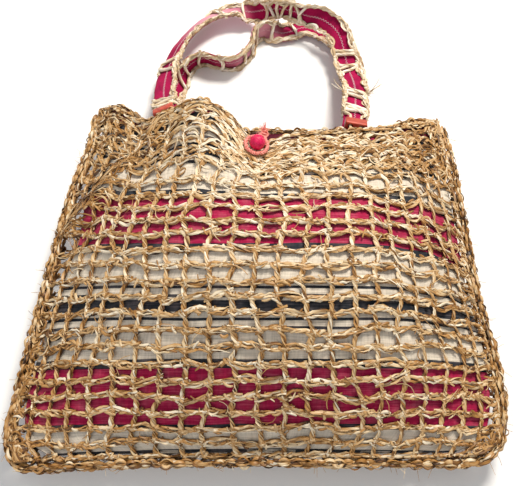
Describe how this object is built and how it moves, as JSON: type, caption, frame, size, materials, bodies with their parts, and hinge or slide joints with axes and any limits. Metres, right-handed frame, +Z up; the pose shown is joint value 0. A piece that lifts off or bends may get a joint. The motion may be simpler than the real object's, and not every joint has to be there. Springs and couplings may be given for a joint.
{
  "type": "crochet bag",
  "caption": "Crochet raffia tote bag lying on its back, with a striped cloth lining, covered strap handles, wooden beads and a ball and loop that close the mouth.",
  "frame": {"origin": "middle of the bag's box, on the surface that it lies on", "axes": "+X to the bag's right side as the picture shows it, +Y from the bottom seam to the mouth and the handles, +Z up"},
  "size_m": [0.3906, 0.5134, 0.1132],
  "materials": {
    "raffia": "dry, slightly glossy straw",
    "lining_cloth": "matt woven stripes of crimson, beige and charcoal",
    "crimson_cloth": "matt woven",
    "terracotta_wood": "painted, satin",
    "crimson_yarn": "matt",
    "salmon_cord": "matt"
  },
  "bodies": {
    "root": {"net_front": "raffia", "net_back": "raffia", "net_seam": "raffia", "lining": "lining_cloth", "handle_front_strap": "crimson_cloth", "handle_front_cover": "raffia", "bead_front_left": "terracotta_wood", "bead_front_right": "terracotta_wood", "handle_back_strap": "crimson_cloth", "handle_back_cover": "raffia", "button_ball": "crimson_yarn", "button_loop": "salmon_cord"}
  },
  "joints": []
}
